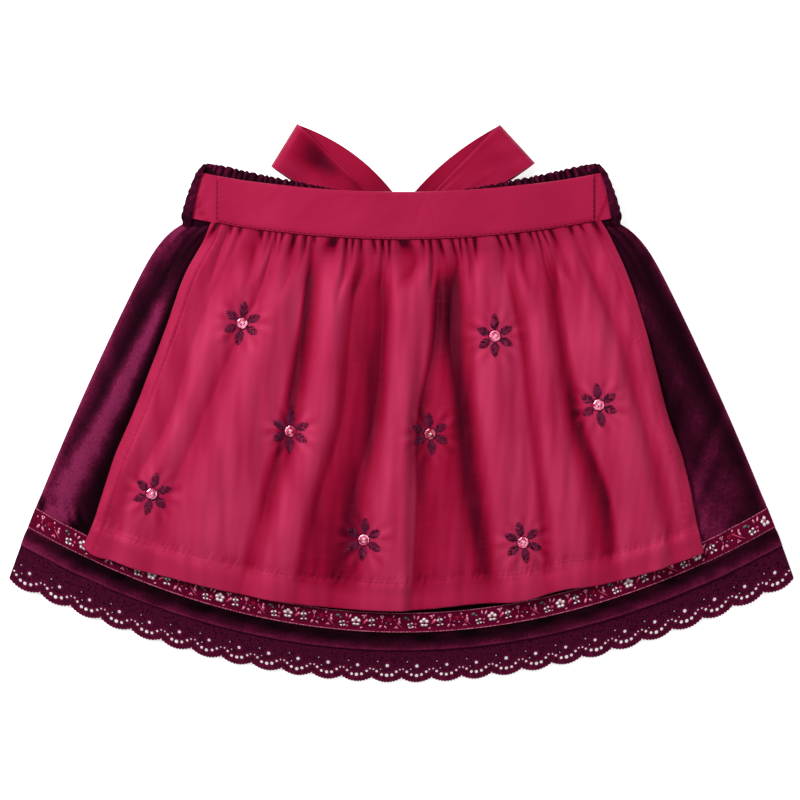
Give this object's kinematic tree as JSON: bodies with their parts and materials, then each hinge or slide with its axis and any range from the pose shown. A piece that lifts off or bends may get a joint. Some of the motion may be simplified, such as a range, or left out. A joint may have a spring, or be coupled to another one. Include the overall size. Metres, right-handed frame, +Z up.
{
  "type": "skirt with apron",
  "caption": "Child's flared velvet skirt with a gathered taffeta apron, folk ribbon and eyelet lace at the hem and a bow tied behind, laid flat on its back.",
  "frame": {"origin": "centre of the whole object's box in plan, on the surface that the skirt lies on", "axes": "+X to the wearer's left side seam, at the right of the picture; +Y from hem to waist; +Z up from the surface through the skirt's front"},
  "size_m": [0.471, 0.335, 0.0169],
  "materials": {
    "velvet": "short-pile velvet, dark plum",
    "taffeta": "lustrous plain-weave taffeta, crimson",
    "ribbon": "jacquard-woven ribbon, wine with pink and white flowers",
    "lace": "embroidered cotton eyelet lace, plum",
    "embroidery": "satin-stitch embroidery thread, dark plum",
    "sequin": "pink faceted cup sequin with a glass bead"
  },
  "bodies": {
    "root": {"skirt_front": "velvet", "skirt_back": "velvet", "casing_front": "velvet", "casing_back": "velvet", "belt_loop_left": "velvet", "belt_loop_right": "velvet", "trim_front": "ribbon", "trim_back": "ribbon", "lace_front": "lace", "lace_back": "lace", "apron_panel": "taffeta", "apron_band": "taffeta", "tie_left": "taffeta", "tie_right": "taffeta", "bow_knot": "taffeta", "bow_loop_left": "taffeta", "bow_loop_right": "taffeta", "bow_tail_left": "taffeta", "bow_tail_right": "taffeta"}
  },
  "joints": []
}
